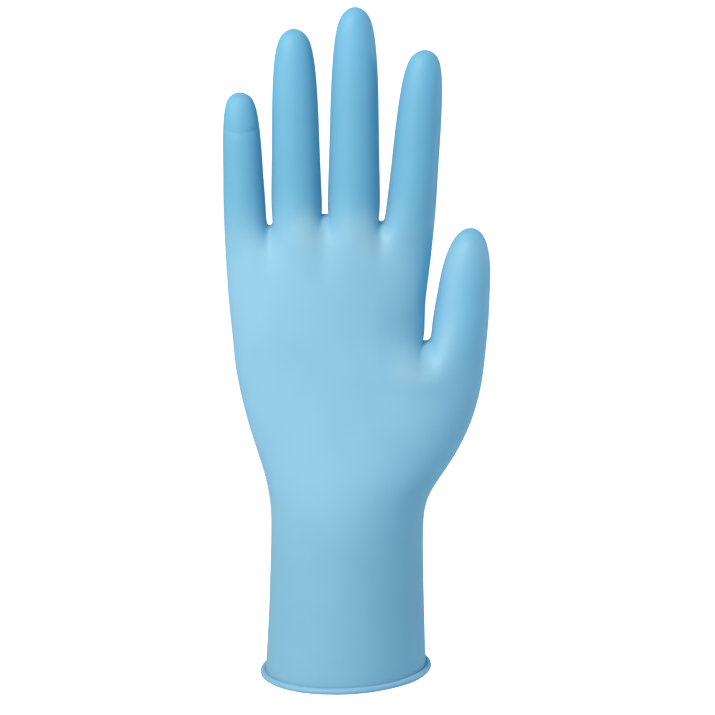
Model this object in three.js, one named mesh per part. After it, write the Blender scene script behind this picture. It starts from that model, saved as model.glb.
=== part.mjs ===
import * as THREE from 'three';

// A disposable nitrile examination glove in its worn form: fingers up (+Z), thumb to +X. Palm (-Y)
// and back (+Y) are alike, so that one glove serves left or right. It is one piece of film, made by
// dipping, and its only edge is rolled into a bead. Sizes are millimetres over the outside of the
// film. The origin is the middle of the mouth, level with the underside of the bead.

// Film
const wall = 1.0; // the real film is about 0.1, too thin for a solid
const beadDiameter = 2.6;

// Cuff
const wristHeight = 51.3;
const wristWidth = 54.9;
const wristDepth = 52;
const wristShift = 0.55; // how far the wrist's middle lies towards the thumb
const mouthWidth = 58.4;
const mouthDepth = 56.4;
const mouthTilt = THREE.MathUtils.degToRad(2.3); // the edge is lower on the little finger's side

// Palm
const crotchHeight = 113.3; // the feet of the thumb's web, on the palm and the back
const crotchLeft = 39.5;
const crotchRight = 28.4; // the palm's side above the web, beside the thumb
const crotchDepth = 35;
const thumbReach = 49.8; // from the middle line to the thumb's outer side, at the crotch
const knuckleHeight = 154.3; // the feet of the outer fingers' webs
const knuckleArch = 6; // the feet rise by this much to the middle of the palm
const palmLeft = 42.7;
const palmRight = 30.8;
const palmDepth = 24.5;
const palmSquareness = 2.3; // 2 is an ellipse, and more is a squarer oval

// Fingers and thumb. x is the root's middle, lean how far the tip lies from there towards the thumb,
// length runs from the feet of the webs to the tip, width and depth are those of the root, and web is
// how far the web's ridge on the little finger's side stands above its feet.
const littleFinger = {
  name: 'little', x: -35.0, lean: -1.9, length: 55.1, width: 15.4, depth: 16.4, web: 0,
};
const ringFinger = {
  name: 'ring', x: -17.0, lean: -0.9, length: 77.2, width: 18.6, depth: 19.2, web: 5.3,
};
const middleFinger = {
  name: 'middle', x: 2.9, lean: 0.6, length: 84.7, width: 19.2, depth: 19.8, web: 7.2,
};
const indexFinger = {
  name: 'index', x: 22.0, lean: 5.9, length: 69.9, width: 18.1, depth: 19.0, web: 6.3,
};
const fingers = [littleFinger, ringFinger, middleFinger, indexFinger];
const thumb = { name: 'thumb', x: 39.4, lean: 5.0, length: 48.8, width: 20.6, depth: 22.5, web: 9.6 };
const stallStart = 15; // the first whole ring of a finger stands this far above the feet of the webs
const fingerSquareness = 2.1;
const webFoot = 0.84; // where a web's foot lies, as a share of the half width of the finger beside it
const outerFoot = 0.74; // the outermost column of the glove's front, counted in the same way
const thumbWebHalf = 2.8; // half the width of the thumb's web at its feet
const thumbWebDip = 0.06; // how far its feet sink, as a share of the half depth
const ridgeShare = 0.5; // the width of a web's ridge, as a share of the width between its feet

// How a finger narrows from its first ring (0) to its tip (1), as shares of its width and depth.
const fingerShape = [
  { along: 0.0, width: 1.0, depth: 1.0 },
  { along: 0.27, width: 0.94, depth: 0.91 },
  { along: 0.52, width: 0.905, depth: 0.84 },
  { along: 0.75, width: 0.825, depth: 0.75 },
  { along: 0.9, width: 0.67, depth: 0.6 },
  { along: 0.968, width: 0.42, depth: 0.37 },
];
const thumbShape = [
  { along: 0.0, width: 1.0, depth: 1.0 },
  { along: 0.3, width: 0.93, depth: 0.9 },
  { along: 0.55, width: 0.86, depth: 0.8 },
  { along: 0.78, width: 0.69, depth: 0.64 },
  { along: 0.93, width: 0.42, depth: 0.38 },
];

// How the cuff opens from the wrist (0) to the mouth (1).
const cuffShape = [
  { along: 1.0, flare: 1.0 },
  { along: 0.52, flare: 0.38 },
  { along: 0.0, flare: 0.0 },
];

// How the hand spreads from the wrist (0) to the crotch of the thumb (1): each side and the depth.
const handShape = [
  { along: 0.15, left: 0.01, right: 0.03, depth: 0.06, dip: 0 },
  { along: 0.25, left: 0.07, right: 0.12, depth: 0.14, dip: 0 },
  { along: 0.37, left: 0.2, right: 0.34, depth: 0.29, dip: 0 },
  { along: 0.51, left: 0.42, right: 0.59, depth: 0.5, dip: 0 },
  { along: 0.68, left: 0.67, right: 0.81, depth: 0.73, dip: 0 },
  { along: 0.85, left: 0.87, right: 0.94, depth: 0.9, dip: 0.25 },
  { along: 1.0, left: 1.0, right: 1.0, depth: 1.0, dip: 1.0 },
];

// The same above the crotch, from there (0) to the knuckles (1). right may swell out beside the thumb
// before it is wholly at the knuckles, and dip is how far the feet of the webs sink between fingers.
const palmShape = [
  { along: 0.24, left: 0.26, right: -0.04, depth: 0.22, dip: 0.0 },
  { along: 0.5, left: 0.6, right: 0.04, depth: 0.5, dip: 0.0 },
  { along: 0.77, left: 0.84, right: 0.55, depth: 0.8, dip: 0.05 },
  { along: 1.0, left: 1.0, right: 1.0, depth: 1.0, dip: 0.24 },
];

const mix = THREE.MathUtils.lerp;
const halfOval = (share, squareness) => (1 - Math.abs(share) ** squareness) ** (1 / squareness);

// The cage is a net of four-sided faces that the skin is rounded from. A section is one level of it:
// a row of points over the front, left to right, the same over the back, and one on each side.
const cage = { points: [], quads: [] };
const addPoint = (point) => cage.points.push(point) - 1;
const loopOf = ({ front, right, back, left }) => [...front, right, ...[...back].reverse(), left];

function addSection(shares, place) {
  return {
    front: shares.map((share, column) => addPoint(place(share, -1, column))),
    right: addPoint(place(1, 0, shares.length)),
    back: shares.map((share, column) => addPoint(place(share, 1, column))),
    left: addPoint(place(-1, 0, -1)),
  };
}

function addBand(lower, upper) {
  const below = loopOf(lower);
  const above = loopOf(upper);
  below.forEach((point, i) => {
    const next = (i + 1) % below.length;
    cage.quads.push([point, below[next], above[next], above[i]]);
  });
}

// Splits a section into groups of columns, with a web across each gap from the front to the back.
function splitSection(section, sizes, ridgeRise) {
  const parts = [];
  let first = 0;
  let left = section.left;
  sizes.forEach((size, i) => {
    const last = first + size - 1;
    const front = section.front.slice(first, last + 1);
    const back = section.back.slice(first, last + 1);
    const part = { front, back, left, right: section.right };
    if (i < sizes.length - 1) {
      const feet = section.front;
      const heels = section.back;
      const halfway = [last, last + 1].map((column) =>
        cage.points[feet[column]].clone().lerp(cage.points[heels[column]], 0.5));
      const ridge = [0, 1].map((side) => {
        const place = halfway[side].clone().lerp(halfway[1 - side], (1 - ridgeShare) / 2);
        return addPoint(place.add(new THREE.Vector3(0, 0, ridgeRise(i))));
      });
      cage.quads.push([feet[last], feet[last + 1], ridge[1], ridge[0]]);
      cage.quads.push([ridge[0], ridge[1], heels[last + 1], heels[last]]);
      part.right = ridge[0];
      left = ridge[1];
    }
    parts.push(part);
    first = last + 1;
  });
  return parts;
}

// Grows a finger from its root section, and closes it with four faces round the tip.
const stallColumns = [-Math.SQRT1_2, 0, Math.SQRT1_2];

function growFinger(root, finger, shape, footHeight) {
  let below = root;
  for (const { along, width, depth } of shape) {
    const rise = mix(stallStart, finger.length, along);
    const middle = finger.x + (finger.lean * rise) / finger.length;
    const halfWidth = (finger.width * width) / 2;
    const halfDepth = (finger.depth * depth) / 2;
    const section = addSection(stallColumns, (share, side) => new THREE.Vector3(
      middle + halfWidth * share,
      side * halfDepth * halfOval(share, fingerSquareness),
      footHeight + rise));
    addBand(below, section);
    below = section;
  }
  const tip = addPoint(new THREE.Vector3(finger.x + finger.lean, 0, footHeight + finger.length));
  const { front, right, back, left } = below;
  cage.quads.push([front[0], front[1], tip, left], [front[1], front[2], right, tip]);
  cage.quads.push([tip, right, back[2], back[1]], [left, tip, back[1], back[0]]);
}

// The columns of the glove's front, as places across the glove: three for each finger and the thumb.
const columnsOf = ({ x, width }, leftShare, rightShare) =>
  [x - (leftShare * width) / 2, x, x + (rightShare * width) / 2];
const shareOf = (places, left, right) =>
  places.map((place) => (2 * (place - left)) / (right - left) - 1);

const palmPlaces = fingers.flatMap((finger, i) => columnsOf(
  finger,
  i === 0 ? outerFoot : webFoot,
  i === fingers.length - 1 ? outerFoot : webFoot));
const palmColumns = shareOf(palmPlaces, -palmLeft, palmRight);
const webMiddle = (crotchRight + thumb.x - thumb.width / 2) / 2;
const thumbFoot = webMiddle + thumbWebHalf;
const palmFoot = webMiddle - thumbWebHalf;
const spread = (palmFoot + crotchLeft) / (palmPlaces.at(-1) + palmLeft);
const thumbEnd = thumb.x + (outerFoot * thumb.width) / 2;
const crotchPlaces = [
  ...palmPlaces.map((place) => (place + palmLeft) * spread - crotchLeft),
  thumbFoot,
  (thumbFoot + thumbEnd) / 2,
  thumbEnd,
];
const crotchColumns = shareOf(crotchPlaces, -crotchLeft, thumbReach);
const cuffColumns = crotchColumns.map((_, i) =>
  -Math.cos((Math.PI * (i + 1)) / (crotchColumns.length + 1)));

// Cuff, from the mouth up to the wrist. The bead's section is a circle that stands on the film's inner
// side and meets its outer side at beadStart, an angle from the outward direction.
const beadRadius = beadDiameter / 2;
const beadStart = Math.acos(wall / beadRadius - 1);
const mouthHeight = beadRadius * (1 + Math.sin(beadStart));
let section = null;

function raise(shares, place) {
  const upper = addSection(shares, place);
  if (section) addBand(section, upper);
  section = upper;
}

for (const { along, flare } of cuffShape) {
  const height = mix(wristHeight, mouthHeight, along);
  const halfWidth = mix(wristWidth, mouthWidth, flare) / 2;
  const halfDepth = mix(wristDepth, mouthDepth, flare) / 2;
  raise(cuffColumns, (share, side) => new THREE.Vector3(
    wristShift * (1 - flare) + halfWidth * share,
    side * halfDepth * halfOval(share, 2),
    height + halfWidth * share * Math.tan(mouthTilt) * along));
}

// Hand, from the wrist to the crotch of the thumb
const wristLeft = wristWidth / 2 - wristShift;
const wristRight = wristWidth / 2 + wristShift;
for (const { along, left, right, depth, dip } of handShape) {
  const height = mix(wristHeight, crotchHeight, along);
  const leftEdge = mix(wristLeft, crotchLeft, left);
  const rightEdge = mix(wristRight, thumbReach, right);
  const halfDepth = mix(wristDepth, crotchDepth, depth) / 2;
  const blend = THREE.MathUtils.smoothstep(along, 0, 1);
  const squareness = mix(2, palmSquareness, blend);
  raise(crotchColumns.map((share, i) => mix(cuffColumns[i], share, blend)), (share, side, column) => {
    const besideWeb = column === palmColumns.length - 1 || column === palmColumns.length;
    const sunk = besideWeb ? 1 - thumbWebDip * dip : 1;
    return new THREE.Vector3(
      mix(-leftEdge, rightEdge, (share + 1) / 2),
      side * halfDepth * halfOval(share, squareness) * sunk,
      height);
  });
}

const handParts = [palmColumns.length, stallColumns.length];
const [palmRoot, thumbRoot] = splitSection(section, handParts, () => thumb.web);
growFinger(thumbRoot, thumb, thumbShape, crotchHeight);

// Palm, from the crotch of the thumb to the knuckles
section = palmRoot;
for (const { along, left, right, depth, dip } of palmShape) {
  const height = mix(crotchHeight, knuckleHeight, along);
  const leftEdge = mix(crotchLeft, palmLeft, left);
  const rightEdge = mix(crotchRight, palmRight, right);
  const halfDepth = mix(crotchDepth, palmDepth, depth) / 2;
  raise(palmColumns, (share, side, column) => {
    const fingerMiddle = column % stallColumns.length === 1;
    const besideWeb = !fingerMiddle && column > 0 && column < palmColumns.length - 1;
    return new THREE.Vector3(
      mix(-leftEdge, rightEdge, (share + 1) / 2),
      side * halfDepth * halfOval(share, palmSquareness) * (besideWeb ? 1 - dip : 1),
      height + knuckleArch * along ** 2 * (1 - share ** 2));
  });
}
const fingerParts = fingers.map(() => stallColumns.length);
splitSection(section, fingerParts, (i) => fingers[i + 1].web).forEach((root, i) => {
  growFinger(root, fingers[i], fingerShape, knuckleHeight);
});

// One step of rounding by the rule of Catmull and Clark. Each face gives a middle point, each edge
// gives another, and the old points come first in the result, moved to where the rounded skin passes.
function roundOff({ points, quads }) {
  const edges = new Map();
  const around = points.map(() => ({ faces: [], edges: [] }));
  const made = points.map((point) => point.clone());
  const average = (list) =>
    list.reduce((sum, point) => sum.add(point), new THREE.Vector3()).divideScalar(list.length);
  const facePoints = quads.map((quad) => made.push(average(quad.map((i) => points[i]))) - 1);
  quads.forEach((quad, face) => quad.forEach((a, corner) => {
    const b = quad[(corner + 1) % 4];
    const key = Math.min(a, b) + ',' + Math.max(a, b);
    if (!edges.has(key)) edges.set(key, { ends: [a, b], faces: [] });
    edges.get(key).faces.push(facePoints[face]);
    around[a].faces.push(facePoints[face]);
  }));
  for (const edge of edges.values()) {
    const ends = edge.ends.map((i) => points[i]);
    edge.open = edge.faces.length === 1;
    edge.middle = average(ends);
    const soft = average([...ends, ...edge.faces.map((face) => made[face])]);
    edge.point = made.push(edge.open ? edge.middle.clone() : soft) - 1;
    edge.ends.forEach((i) => around[i].edges.push(edge));
  }
  points.forEach((point, i) => {
    const open = around[i].edges.filter((edge) => edge.open);
    if (open.length) {
      made[i] = point.clone().add(average(open.map((edge) => edge.middle))).multiplyScalar(0.5);
      return;
    }
    const count = around[i].faces.length;
    made[i] = point.clone().multiplyScalar(count - 3)
      .addScaledVector(average(around[i].edges.map((edge) => edge.middle)), 2)
      .add(average(around[i].faces.map((face) => made[face])))
      .divideScalar(count);
  });
  const edgePoint = (a, b) => edges.get(Math.min(a, b) + ',' + Math.max(a, b)).point;
  const smaller = quads.flatMap((quad, face) => quad.map((point, corner) => [
    point,
    edgePoint(point, quad[(corner + 1) % 4]),
    facePoints[face],
    edgePoint(quad[(corner + 3) % 4], point),
  ]));
  return { points: made, quads: smaller };
}

// Rounding draws the skin in from its cage, so the cage is pushed out until the skin passes through
// the points that the sizes give.
function fittedCage({ points, quads }, passes) {
  const fitted = points.map((point) => point.clone());
  for (let pass = 0; pass < passes; pass += 1) {
    const rounded = roundOff({ points: fitted, quads }).points;
    fitted.forEach((point, i) => point.add(points[i]).sub(rounded[i]));
  }
  return { points: fitted, quads };
}

const fitPasses = 8;
const skin = roundOff(fittedCage(cage, fitPasses));

// The outward direction at each point of the skin.
function outwardOf({ points, quads }) {
  const outward = points.map(() => new THREE.Vector3());
  for (const [a, b, c, d] of quads) {
    const across = points[c].clone().sub(points[a]);
    const normal = across.cross(points[d].clone().sub(points[b]));
    [a, b, c, d].forEach((i) => outward[i].add(normal));
  }
  return outward.map((direction) => direction.normalize());
}

// The lower edge of the skin, in order round the mouth.
function openLoop(quads) {
  const next = new Map();
  const sides = quads.flatMap((quad) => quad.map((a, i) => [a, quad[(i + 1) % 4]]));
  const walked = new Set(sides.map(([a, b]) => a + ',' + b));
  for (const [a, b] of sides) if (!walked.has(b + ',' + a)) next.set(a, b);
  const loop = [next.keys().next().value];
  while (next.get(loop.at(-1)) !== loop[0]) loop.push(next.get(loop.at(-1)));
  return loop;
}

const beadSteps = 6;

// Film: the skin, the same skin a wall further in, and the bead that joins the two round the mouth.
function filmGeometry() {
  const outward = outwardOf(skin);
  const mouth = openLoop(skin.quads);
  mouth.forEach((i) => outward[i].setZ(0).normalize());
  const points = skin.points.map((point) => point.clone());
  const inner = skin.points.map((point, i) =>
    points.push(point.clone().addScaledVector(outward[i], -wall)) - 1);
  const quads = [...skin.quads, ...skin.quads.map((quad) => quad.map((i) => inner[i]).reverse())];

  const rows = [mouth];
  for (let step = 1; step <= beadSteps; step += 1) {
    const angle = mix(beadStart, -Math.PI, step / beadSteps);
    rows.push(mouth.map((i) => {
      const place = points[inner[i]].clone();
      place.addScaledVector(outward[i], beadRadius * (1 + Math.cos(angle)));
      place.z += beadRadius * (Math.sin(angle) - Math.sin(beadStart));
      return points.push(place) - 1;
    }));
  }
  rows.push(mouth.map((i) => inner[i]));
  for (let row = 1; row < rows.length; row += 1) {
    mouth.forEach((_, i) => {
      const next = (i + 1) % mouth.length;
      quads.push([rows[row - 1][next], rows[row - 1][i], rows[row][i], rows[row][next]]);
    });
  }

  const index = quads.flatMap(([a, b, c, d]) => {
    const shortAcross = points[a].distanceTo(points[c]) <= points[b].distanceTo(points[d]);
    return shortAcross ? [a, b, c, a, c, d] : [a, b, d, b, c, d];
  });
  const geometry = new THREE.BufferGeometry();
  geometry.setAttribute('position', new THREE.Float32BufferAttribute(points.flatMap((p) => p.toArray()), 3));
  geometry.setIndex(index);
  geometry.computeVertexNormals();
  return geometry;
}

const nitrile = new THREE.MeshStandardMaterial({ color: 0x8bc1e0, roughness: 0.55, metalness: 0 });
const film = new THREE.Mesh(filmGeometry(), nitrile);
film.name = 'glove_film';

const glove = new THREE.Group();
glove.add(film);

export default glove;
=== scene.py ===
import math

import bmesh
import bpy
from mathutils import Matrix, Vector


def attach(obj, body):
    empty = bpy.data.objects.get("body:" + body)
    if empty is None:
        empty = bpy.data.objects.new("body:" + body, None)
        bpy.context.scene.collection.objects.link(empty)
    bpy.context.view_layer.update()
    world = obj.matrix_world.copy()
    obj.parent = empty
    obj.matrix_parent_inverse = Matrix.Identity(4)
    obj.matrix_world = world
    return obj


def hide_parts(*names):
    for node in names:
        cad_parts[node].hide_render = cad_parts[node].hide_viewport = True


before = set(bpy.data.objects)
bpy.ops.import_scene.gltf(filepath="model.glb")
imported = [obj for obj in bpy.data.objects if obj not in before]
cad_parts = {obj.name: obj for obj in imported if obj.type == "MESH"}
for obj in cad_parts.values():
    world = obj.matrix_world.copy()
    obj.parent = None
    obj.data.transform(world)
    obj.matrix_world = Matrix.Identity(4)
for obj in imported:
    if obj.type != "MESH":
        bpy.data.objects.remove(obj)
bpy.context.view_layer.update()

# Film of the cuff, palm, fingers and thumb. The real one is pale blue nitrile rubber about 0.1 mm
# thick, made by dipping and pulled off as one skin with no seam. It is drawn a little thicker here,
# and follows the outside of the solid.
film_thickness = 0.00035
film_tuck = 0.0011           # the film runs this far down into the rolled bead
mouth_edge_angle = math.radians(60)
mouth_zone = 0.01            # the bead lies below this height
weld_distance = 2e-6
render_levels = 2
ripple_height = 0.00022      # the film's soft unevenness, from ridge to hollow
ripple_size = 0.03
ripple_seed = 3.0
fold_height = 0.0001         # fine upright folds in the loose cuff
fold_scale = 110.0
fold_stretch = 0.12          # a fold's height is its width divided by this
cuff_top = 0.06
crease_middle = (-0.0365, 0.0, 0.1949)    # a shallow crease below the little finger's tip
crease_bend = 45.0           # its rise, in metres for each square metre off its middle
crease_width = 0.0017        # from the crease's line to its edge
crease_flat = 0.0055         # it keeps its full depth this far to each side
crease_reach = 0.0085
crease_front = 0.004         # it fades out over this depth as it turns away from the palm's side
crease_depth = 0.00036
crease_line_width = 0.0010   # the fine line along its bottom
crease_line_depth = 0.00008

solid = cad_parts["glove_film"]
skin = bmesh.new()
skin.from_mesh(solid.data)
bmesh.ops.remove_doubles(skin, verts=skin.verts, dist=1e-6)
skin.faces.ensure_lookup_table()

# The outer face of the wall is all that is reached from the highest fingertip without crossing the
# sharp corner where the bead begins.
top_face = max(skin.faces, key=lambda face: face.calc_center_median().z)
outside = {top_face}
waiting = [top_face]
while waiting:
    for edge in waiting.pop().edges:
        near_mouth = edge.verts[0].co.z < mouth_zone
        if near_mouth and edge.calc_face_angle() > mouth_edge_angle:
            continue
        for face in edge.link_faces:
            if face not in outside:
                outside.add(face)
                waiting.append(face)
bmesh.ops.delete(skin, geom=[face for face in skin.faces if face not in outside], context="FACES")
bmesh.ops.join_triangles(
    skin, faces=skin.faces, angle_face_threshold=math.pi, angle_shape_threshold=math.pi)

# The mouth's edge, which the bead follows, is kept before the film is drawn down into the bead.
mouth_edges = [edge for edge in skin.edges if edge.is_boundary]
mouth_points = {vert: vert.co.copy() for edge in mouth_edges for vert in edge.verts}
mouth_links = [tuple(mouth_points[vert] for vert in edge.verts) for edge in mouth_edges]
drawn = bmesh.ops.extrude_edge_only(skin, edges=mouth_edges)["geom"]
for vert in drawn:
    if isinstance(vert, bmesh.types.BMVert):
        vert.co.z -= film_tuck
bmesh.ops.recalc_face_normals(skin, faces=skin.faces)

film_mesh = bpy.data.meshes.new("film")
skin.to_mesh(film_mesh)
skin.free()


def add_object(name, data):
    """Puts a mesh, a light or a camera into the scene."""
    made = bpy.data.objects.new(name, data)
    bpy.context.scene.collection.objects.link(made)
    return made


def new_tree(kind, name, inputs, outputs):
    """Starts a node tree with named inputs and outputs: a name and a socket's kind for each."""
    tree = bpy.data.node_groups.new(name, kind)
    for direction, sockets in (("INPUT", inputs), ("OUTPUT", outputs)):
        for title, socket_kind in sockets.items():
            tree.interface.new_socket(
                title, in_out=direction, socket_type="NodeSocket" + socket_kind)
    given = tree.nodes.new("NodeGroupInput").outputs
    result = tree.nodes.new("NodeGroupOutput").inputs
    return tree, given, result


def fill(tree, socket, value):
    """Gives an input a plain value, or joins an output to it."""
    if isinstance(value, bpy.types.NodeSocket):
        tree.links.new(value, socket)
    else:
        socket.default_value = value


def add_node(tree, kind, inputs, **settings):
    """Adds a node with its settings, and fills the inputs that are named."""
    node = tree.nodes.new(kind)
    for setting, value in settings.items():
        setattr(node, setting, value)
    for title, value in inputs.items():
        fill(tree, node.inputs[title], value)
    return node


def maths(tree, operation, *values):
    """The result of a sum on numbers."""
    return add_node(tree, "ShaderNodeMath", dict(enumerate(values)), operation=operation).outputs[0]


def vector_maths(tree, operation, *values):
    """The vector that a sum on vectors gives."""
    return add_node(
        tree, "ShaderNodeVectorMath", dict(enumerate(values)), operation=operation).outputs["Vector"]


def noise(tree, point, scale, detail, seed=None):
    """Soft noise from 0 to 1. A seed picks one of many patterns."""
    inputs = {"Vector": point, "Scale": scale, "Detail": detail}
    if seed is None:
        return add_node(tree, "ShaderNodeTexNoise", inputs).outputs["Fac"]
    inputs["W"] = seed
    return add_node(tree, "ShaderNodeTexNoise", inputs, noise_dimensions="4D").outputs["Fac"]


def fade(tree, value, full, gone, easing="SMOOTHSTEP"):
    """1 where the value is at full, and 0 where it is at gone."""
    return add_node(
        tree, "ShaderNodeMapRange", {"Value": value, "From Min": gone, "From Max": full},
        interpolation_type=easing).outputs["Result"]


def beside_crease(tree, point, middle, bend):
    """How far a point is off the crease's curved line, how far to its side, and its depth."""
    away = vector_maths(tree, "SUBTRACT", point, middle)
    x, y, z = add_node(tree, "ShaderNodeSeparateXYZ", {0: away}).outputs
    curve = maths(tree, "MULTIPLY", maths(tree, "MULTIPLY", x, x), bend)
    off = maths(tree, "ABSOLUTE", maths(tree, "SUBTRACT", z, curve))
    return off, maths(tree, "ABSOLUTE", x), y


def finish_geometry(tree, geometry, given, result):
    """Ends a geometry tree: smooth shading, real geometry and the material."""
    smooth = add_node(tree, "GeometryNodeSetShadeSmooth", {"Geometry": geometry})
    real = add_node(tree, "GeometryNodeRealizeInstances", {"Geometry": smooth.outputs["Geometry"]})
    painted = add_node(tree, "GeometryNodeSetMaterial", {
        "Geometry": real.outputs["Geometry"], "Material": given["Material"]})
    tree.links.new(painted.outputs["Geometry"], result[0])


def film_tree():
    """Rounds the skin, makes it slightly uneven, and gives it the film's thickness inwards."""
    tree, given, result = new_tree("GeometryNodeTree", "film_from_skin", {
        "Skin": "Geometry",
        "Thickness": "Float",
        "Ripple Height": "Float",
        "Ripple Size": "Float",
        "Fold Height": "Float",
        "Cuff Top": "Float",
        "Crease Middle": "Vector",
        "Crease Bend": "Float",
        "Crease Width": "Float",
        "Crease Reach": "Float",
        "Crease Depth": "Float",
        "Seed": "Float",
        "Material": "Material",
    }, {"Film": "Geometry"})
    rounded = add_node(
        tree, "GeometryNodeSubdivisionSurface", {"Mesh": given["Skin"], "Level": render_levels})
    place = tree.nodes.new("GeometryNodeInputPosition").outputs["Position"]
    facing = tree.nodes.new("GeometryNodeInputNormal").outputs["Normal"]

    # Broad ripples all over
    ripple_scale = maths(tree, "DIVIDE", 1.0, given["Ripple Size"])
    ripple = maths(tree, "SUBTRACT", noise(tree, place, ripple_scale, 1.0, given["Seed"]), 0.5)
    rise = maths(tree, "MULTIPLY", ripple, given["Ripple Height"])

    # Upright folds, only in the cuff
    stretched = vector_maths(tree, "MULTIPLY", place, (1.0, 1.0, fold_stretch))
    folds = maths(tree, "SUBTRACT", noise(tree, stretched, fold_scale, 1.0, given["Seed"]), 0.5)
    height = add_node(tree, "ShaderNodeSeparateXYZ", {0: place}).outputs["Z"]
    folds = maths(tree, "MULTIPLY", folds, fade(tree, height, 0.0, given["Cuff Top"]))
    rise = maths(tree, "MULTIPLY_ADD", folds, given["Fold Height"], rise)

    # The crease, on the palm's side alone
    off, side, depth = beside_crease(tree, place, given["Crease Middle"], given["Crease Bend"])
    crease = maths(
        tree, "MULTIPLY", fade(tree, off, 0.0, given["Crease Width"]),
        fade(tree, side, crease_flat, given["Crease Reach"]))
    crease = maths(tree, "MULTIPLY", crease, fade(tree, depth, -crease_front, 0.0))
    rise = maths(
        tree, "SUBTRACT", rise, maths(tree, "MULTIPLY", crease, given["Crease Depth"]))

    # The outer face of the wall, and the inner face drawn in from it
    risen = add_node(
        tree, "ShaderNodeVectorMath", {0: facing, "Scale": rise}, operation="SCALE")
    outer = add_node(tree, "GeometryNodeSetPosition", {
        "Geometry": rounded.outputs["Mesh"], "Offset": risen.outputs["Vector"]})
    inner = add_node(tree, "GeometryNodeExtrudeMesh", {
        "Mesh": outer.outputs["Geometry"], "Offset": facing, "Individual": False,
        "Offset Scale": maths(tree, "MULTIPLY", given["Thickness"], -1.0)}, mode="FACES")
    turned = add_node(tree, "GeometryNodeFlipFaces", {"Mesh": inner.outputs["Mesh"]})
    both = add_node(tree, "GeometryNodeJoinGeometry", {"Geometry": outer.outputs["Geometry"]})
    tree.links.new(turned.outputs["Mesh"], both.inputs["Geometry"])
    welded = add_node(tree, "GeometryNodeMergeByDistance", {
        "Geometry": both.outputs["Geometry"], "Distance": weld_distance})
    finish_geometry(tree, welded.outputs["Geometry"], given, result)
    return tree


def shape(piece, tree, values):
    """Runs a geometry tree on a piece with its named inputs, and leaves a plain mesh."""
    shaping = piece.modifiers.new(tree.name, "NODES")
    shaping.node_group = tree
    for socket in tree.interface.items_tree:
        if socket.name in values:
            shaping[socket.identifier] = values[socket.name]
    made = bpy.data.meshes.new_from_object(
        piece.evaluated_get(bpy.context.evaluated_depsgraph_get()))
    piece.modifiers.clear()
    piece.data = made


# Nitrile's colour: pale where the film is stretched over the palm and the webs, and deeper in the
# fingers, because the glove is dipped fingers down and the film is thickest there. The paler pads and
# thenar bulge are partly a painted highlight, and the deeper index flank beside the thumb is painted
# shade.
cuff_blue = (0.255, 0.490, 0.635, 1.0)
palm_blue = (0.300, 0.550, 0.715, 1.0)
finger_blue = (0.175, 0.450, 0.640, 1.0)
tip_and_shade_blue = (0.190, 0.500, 0.720, 1.0)
stretched_and_highlight_blue = (0.365, 0.600, 0.730, 1.0)
colour_top = 0.25            # the height at which the range of colours ends
film_colours = [
    (0.040, cuff_blue), (0.085, palm_blue), (0.148, palm_blue), (0.178, finger_blue)]

# Each spot's centre, its reach along each axis, and its strength
tip_and_shade_spots = [
    ((0.0430, 0.0, 0.135), (0.013, 0.030, 0.034), 0.8),
    # Painted shade: the index finger's lower flank and the palm's edge beside the thumb, dark where
    # the thumb shades them, are painted deeper.
    ((0.0310, 0.0, 0.142), (0.008, 0.030, 0.034), 1.0),
    ((-0.0369, 0.0, 0.210), (0.013, 0.013, 0.020), 1.0),
    ((-0.0179, 0.0, 0.232), (0.015, 0.015, 0.045), 0.8),
    ((0.0035, 0.0, 0.240), (0.015, 0.015, 0.050), 1.0),
    ((0.0279, 0.0, 0.225), (0.015, 0.015, 0.040), 0.7),
    ((0.0444, 0.0, 0.163), (0.015, 0.015, 0.018), 0.6),
]
# Paler pads below the webs and on the thenar bulge: partly stretched film, partly a painted highlight
# where these bulges face the light.
pad_and_highlight_spots = [
    ((-0.0125, -0.010, 0.1600), (0.0085, 0.014, 0.012), 1.0),
    ((0.0080, -0.010, 0.1575), (0.0095, 0.014, 0.015), 1.0),
    ((-0.0320, -0.008, 0.1560), (0.0060, 0.012, 0.008), 0.3),
    ((0.0230, -0.012, 0.1120), (0.0120, 0.014, 0.012), 0.9),
    ((0.0210, -0.013, 0.0980), (0.0150, 0.014, 0.018), 0.5),
]
spot_edge = 1.15             # a spot's mask ends at this share of its reach
cloud_share = 0.025          # how much the clouding brightens or darkens the colour


def spot_group():
    """A soft spot: 1 at its centre, fading to 0 beyond its reach along each axis."""
    group, given, result = new_tree("ShaderNodeTree", "soft_spot", {
        "Point": "Vector", "Centre": "Vector", "Reach": "Vector", "Strength": "Float",
    }, {"Mask": "Float"})
    away = vector_maths(group, "SUBTRACT", given["Point"], given["Centre"])
    shares = vector_maths(group, "DIVIDE", away, given["Reach"])
    distance = add_node(group, "ShaderNodeVectorMath", {0: shares}, operation="LENGTH")
    mask = fade(group, distance.outputs["Value"], 0.0, spot_edge, "SMOOTHERSTEP")
    fill(group, result["Mask"], maths(group, "MULTIPLY", mask, given["Strength"]))
    return group


def grain_group():
    """Nitrile's surface: soft cloudy mottling of the colour, uneven gloss and a fine grain."""
    group, given, result = new_tree("ShaderNodeTree", "nitrile_grain", {
        "Point": "Vector",
    }, {"Cloud": "Float", "Gloss": "Float", "Grain": "Float"})
    for title, scale, detail, low, high in (
            ("Cloud", 55.0, 4.0, -1.0, 1.0),
            ("Gloss", 140.0, 3.0, 0.46, 0.62),
            ("Grain", 2600.0, 2.0, 0.0, 1.0)):
        spread = add_node(group, "ShaderNodeMapRange", {
            "Value": noise(group, given["Point"], scale, detail),
            "From Min": 0.25, "From Max": 0.75, "To Min": low, "To Max": high})
        fill(group, result[title], spread.outputs["Result"])
    return group


soft_spot = spot_group()
nitrile_grain = grain_group()


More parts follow.
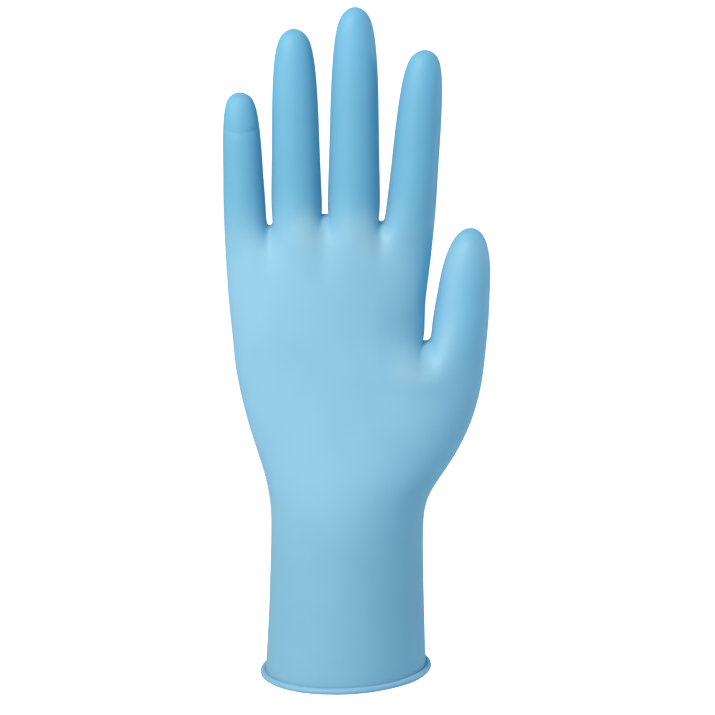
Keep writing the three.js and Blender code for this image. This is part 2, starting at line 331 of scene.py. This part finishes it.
def spots(tree, point, places):
    """One mask for several soft spots."""
    total = None
    for centre, reach, strength in places:
        mask = add_node(tree, "ShaderNodeGroup", {}, node_tree=soft_spot)
        for title, value in (
                ("Point", point), ("Centre", centre), ("Reach", reach), ("Strength", strength)):
            fill(tree, mask.inputs[title], value)
        mask = mask.outputs["Mask"]
        total = mask if total is None else maths(tree, "MAXIMUM", total, mask)
    return total


def nitrile(name, colours):
    """Nitrile film coloured by height. Gives back the material, its points, bump and colour."""
    material = bpy.data.materials.new(name)
    material.use_nodes = True
    tree = material.node_tree
    surface = tree.nodes["Principled BSDF"]
    surface.inputs["Specular IOR Level"].default_value = 0.35
    surface.inputs["Sheen Weight"].default_value = 0.12
    surface.inputs["Sheen Roughness"].default_value = 0.5
    point = tree.nodes.new("ShaderNodeTexCoord").outputs["Object"]
    grain = add_node(tree, "ShaderNodeGroup", {}, node_tree=nitrile_grain)
    fill(tree, grain.inputs["Point"], point)
    fill(tree, surface.inputs["Roughness"], grain.outputs["Gloss"])
    bump = add_node(tree, "ShaderNodeBump", {
        "Strength": 0.12, "Distance": 0.0001, "Height": grain.outputs["Grain"]})
    fill(tree, surface.inputs["Normal"], bump.outputs["Normal"])

    height = add_node(tree, "ShaderNodeSeparateXYZ", {0: point}).outputs["Z"]
    share = add_node(tree, "ShaderNodeMapRange", {"Value": height, "From Max": colour_top})
    ramp = add_node(tree, "ShaderNodeValToRGB", {"Fac": share.outputs["Result"]})
    ramp.color_ramp.interpolation = "EASE"
    while len(ramp.color_ramp.elements) < len(colours):
        ramp.color_ramp.elements.new(0.5)
    for stop, (level, colour) in zip(ramp.color_ramp.elements, colours):
        stop.position = level / colour_top
        stop.color = colour
    brightness = maths(tree, "MULTIPLY_ADD", grain.outputs["Cloud"], cloud_share, 1.0)
    cloudy = add_node(tree, "ShaderNodeHueSaturation", {
        "Color": ramp.outputs["Color"], "Value": brightness})
    fill(tree, surface.inputs["Base Color"], cloudy.outputs["Color"])
    return material, point, bump.outputs["Normal"], cloudy.inputs["Color"]


film_nitrile, point, facing, colour_input = nitrile("film_nitrile", film_colours)
film_nodes = film_nitrile.node_tree

# The tips are deeper and the pads paler than the colour by height. The pads' paleness is partly a
# painted highlight, and one deep spot on the index finger's flank beside the thumb is painted shade.
shade = colour_input.links[0].from_socket
for places, shade_there in ((tip_and_shade_spots, tip_and_shade_blue), (pad_and_highlight_spots, stretched_and_highlight_blue)):
    mixed = add_node(film_nodes, "ShaderNodeMix", {
        0: spots(film_nodes, point, places)}, data_type="RGBA")
    fill(film_nodes, mixed.inputs[6], shade)
    fill(film_nodes, mixed.inputs[7], shade_there)
    shade = mixed.outputs[2]
fill(film_nodes, colour_input, shade)

# The fine line along the bottom of the crease
off, side, depth = beside_crease(film_nodes, point, crease_middle, crease_bend)
line = maths(
    film_nodes, "MULTIPLY", fade(film_nodes, off, 0.0, crease_line_width, "LINEAR"),
    fade(film_nodes, side, 0.75 * crease_reach, crease_reach, "LINEAR"))
line = maths(film_nodes, "MULTIPLY", line, maths(film_nodes, "LESS_THAN", depth, 0.0))
pressed = add_node(film_nodes, "ShaderNodeBump", {
    "Strength": 0.8, "Distance": crease_line_depth, "Height": line, "Normal": facing}, invert=True)
surface = film_nodes.nodes["Principled BSDF"]
fill(film_nodes, surface.inputs["Normal"], pressed.outputs["Normal"])

film = add_object("film", film_mesh)
shape(film, film_tree(), {
    "Thickness": film_thickness,
    "Ripple Height": ripple_height,
    "Ripple Size": ripple_size,
    "Fold Height": fold_height,
    "Cuff Top": cuff_top,
    "Crease Middle": crease_middle,
    "Crease Bend": crease_bend,
    "Crease Width": crease_width,
    "Crease Reach": crease_reach,
    "Crease Depth": crease_depth,
    "Seed": ripple_seed,
    "Material": film_nitrile,
})
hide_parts("glove_film")
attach(film, "root")

# Rolled bead round the mouth. While the film is still wet its edge is rolled up on itself by brushes,
# a few turns that set as one round cord of nitrile, and the outermost turn ends in a fine step.
bead_radius = 0.00118
bead_step = 0.00012          # the height of the step where the last turn ends
bead_sides = 22
bead_unevenness = 0.07       # how much the thickness varies round the mouth
bead_pieces = 288
bead_seed = 5.0
bead_blue = (0.270, 0.505, 0.680, 1.0)

path = bmesh.new()
path_points = {}
mouth_middle = sum((a for a, _ in mouth_links), Vector()) / len(mouth_links)
for link_ends in mouth_links:
    ends = []
    for co in link_ends:
        key = tuple(round(v, 7) for v in co)
        if key not in path_points:
            outward = Vector((co.x - mouth_middle.x, co.y - mouth_middle.y, 0)).normalized()
            middle = co + outward * (bead_radius - film_thickness)
            middle.z -= bead_radius
            path_points[key] = path.verts.new(middle)
        ends.append(path_points[key])
    path.edges.new(ends)
path_mesh = bpy.data.meshes.new("rolled_bead")
path.to_mesh(path_mesh)
path.free()


def bead_tree():
    """Sweeps a rolled section round a closed path."""
    tree, given, result = new_tree("GeometryNodeTree", "roll_along_mouth", {
        "Path": "Geometry",
        "Radius": "Float",
        "Step": "Float",
        "Unevenness": "Float",
        "Pieces": "Int",
        "Seed": "Float",
        "Material": "Material",
    }, {"Bead": "Geometry"})
    line = add_node(tree, "GeometryNodeMeshToCurve", {"Mesh": given["Path"]})
    even = add_node(tree, "GeometryNodeResampleCurve", {
        "Curve": line.outputs["Curve"], "Count": given["Pieces"]})
    upright = add_node(
        tree, "GeometryNodeSetCurveNormal", {"Curve": even.outputs["Curve"]}, mode="Z_UP")
    place = tree.nodes.new("GeometryNodeInputPosition").outputs["Position"]
    about = add_node(tree, "ShaderNodeMapRange", {
        "Value": noise(tree, place, 60.0, 2.0, given["Seed"]),
        "From Min": 0.3, "From Max": 0.7, "To Min": -1.0}).outputs["Result"]
    swell = maths(tree, "MULTIPLY_ADD", about, given["Unevenness"], 1.0)
    turn = add_node(tree, "GeometryNodeCurveSpiral", {
        "Resolution": bead_sides, "Rotations": 1.0, "Height": 0.0,
        "Start Radius": maths(tree, "SUBTRACT", given["Radius"], given["Step"]),
        "End Radius": given["Radius"]})
    section = add_node(tree, "GeometryNodeSetSplineCyclic", {
        "Geometry": turn.outputs["Curve"], "Cyclic": True})
    swept = add_node(tree, "GeometryNodeCurveToMesh", {
        "Curve": upright.outputs["Curve"], "Profile Curve": section.outputs["Geometry"],
        "Scale": swell})
    finish_geometry(tree, swept.outputs["Mesh"], given, result)
    return tree


bead_nitrile = nitrile("bead_nitrile", [(0.0, bead_blue), (colour_top, bead_blue)])[0]
bead = add_object("rolled_bead", path_mesh)
shape(bead, bead_tree(), {
    "Radius": bead_radius,
    "Step": bead_step,
    "Unevenness": bead_unevenness,
    "Pieces": bead_pieces,
    "Seed": bead_seed,
    "Material": bead_nitrile,
})
outwards = bmesh.new()
outwards.from_mesh(bead.data)
bmesh.ops.recalc_face_normals(outwards, faces=outwards.faces)
outwards.to_mesh(bead.data)
outwards.free()
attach(bead, "root")

# Floor and backdrop: one pale sweep, well below and behind the glove, which is held up at its mouth.
# It shows as plain white, and adds only a little cool light to the glove.
floor_height = -0.04
sweep_front = -2.5
sweep_back = 1.6
sweep_radius = 0.8
sweep_half_width = 3.0
sweep_top = 3.0
sweep_steps = 12
profile = [(sweep_front, floor_height)]
for step in range(sweep_steps + 1):
    angle = math.pi / 2 * step / sweep_steps
    profile.append((
        sweep_back + sweep_radius * math.sin(angle),
        floor_height + sweep_radius * (1 - math.cos(angle))))
profile.append((sweep_back + sweep_radius, sweep_top))
sweep_points = [(x, y, z) for y, z in profile for x in (-sweep_half_width, sweep_half_width)]
sweep_faces = [(2 * i, 2 * i + 1, 2 * i + 3, 2 * i + 2) for i in range(len(profile) - 1)]
sweep_mesh = bpy.data.meshes.new("pale_sweep")
sweep_mesh.from_pydata(sweep_points, [], sweep_faces)
sweep_mesh.shade_smooth()
sweep = add_object("pale_sweep", sweep_mesh)
paper = bpy.data.materials.new("pale_paper")
paper.use_nodes = True
paper_surface = paper.node_tree.nodes["Principled BSDF"]
paper_surface.inputs["Base Color"].default_value = (0.55, 0.72, 0.8, 1.0)
paper_surface.inputs["Roughness"].default_value = 0.9
paper_surface.inputs["Specular IOR Level"].default_value = 0.1
paper_surface.inputs["Emission Color"].default_value = (1.0, 1.0, 1.0, 1.0)
paper_seen = paper.node_tree.nodes.new("ShaderNodeLightPath").outputs["Is Camera Ray"]
fill(paper.node_tree, paper_surface.inputs["Emission Strength"], paper_seen)
sweep_mesh.materials.append(paper)

# Light: a broad soft source to the upper left, a weak one at the right behind the glove, and an even
# cool glow from all round. Where the camera looks past the sweep, the glow shows as white too.
glove_middle = Vector((0.0, 0.0, 0.12))
white = (1.0, 1.0, 1.0, 1.0)
cool_glow = (0.205, 0.400, 0.525, 1.0)


def soft_box(name, azimuth, elevation, distance, size, power, colour):
    """A square light that faces the glove. Azimuth 0 is in front, and +90 on the thumb's side."""
    light = bpy.data.lights.new(name, "AREA")
    light.shape = "SQUARE"
    light.size = size
    light.energy = power
    light.color = colour
    lamp = add_object(name, light)
    turn = math.radians(azimuth)
    tilt = math.radians(elevation)
    way = Vector((
        math.sin(turn) * math.cos(tilt), -math.cos(turn) * math.cos(tilt), math.sin(tilt)))
    lamp.location = glove_middle + way * distance
    lamp.rotation_euler = (-way).to_track_quat("-Z", "Y").to_euler()


soft_box("key_light", -38, 38, 1.6, 0.6, 22.0, (1.0, 0.87, 0.73))
soft_box("rim_light", 112, 8, 1.5, 0.6, 5.0, (1.0, 0.90, 0.76))

glow = bpy.data.worlds.new("studio_glow")
bpy.context.scene.world = glow
glow.use_nodes = True
glow_tree = glow.node_tree
glow_seen = glow_tree.nodes.new("ShaderNodeLightPath").outputs["Is Camera Ray"]
glow_colour = add_node(glow_tree, "ShaderNodeMix", {0: glow_seen}, data_type="RGBA")
fill(glow_tree, glow_colour.inputs[6], cool_glow)
fill(glow_tree, glow_colour.inputs[7], white)
fill(glow_tree, glow_tree.nodes["Background"].inputs["Color"], glow_colour.outputs[2])
bpy.context.scene.view_settings.view_transform = "Standard"
bpy.context.scene.view_settings.look = "None"

# Camera at the photograph's viewing angle: level with the middle of the glove and a little above it
camera_distance = 0.68
camera_pitch = math.radians(8)
frame_pixels = 715
millimetres_per_pixel = 0.357    # at the camera's aim
sensor = 36.0
aim = Vector((0.0043, 0.0, 0.1154))
camera_data = bpy.data.cameras.new("camera")
camera_data.sensor_width = sensor
camera_data.lens = sensor * camera_distance * 1000 / millimetres_per_pixel / frame_pixels
camera = add_object("camera", camera_data)
camera.location = aim + camera_distance * Vector((0, -math.cos(camera_pitch), math.sin(camera_pitch)))
camera.rotation_euler = (math.radians(90) - camera_pitch, 0.0, 0.0)
bpy.context.scene.camera = camera
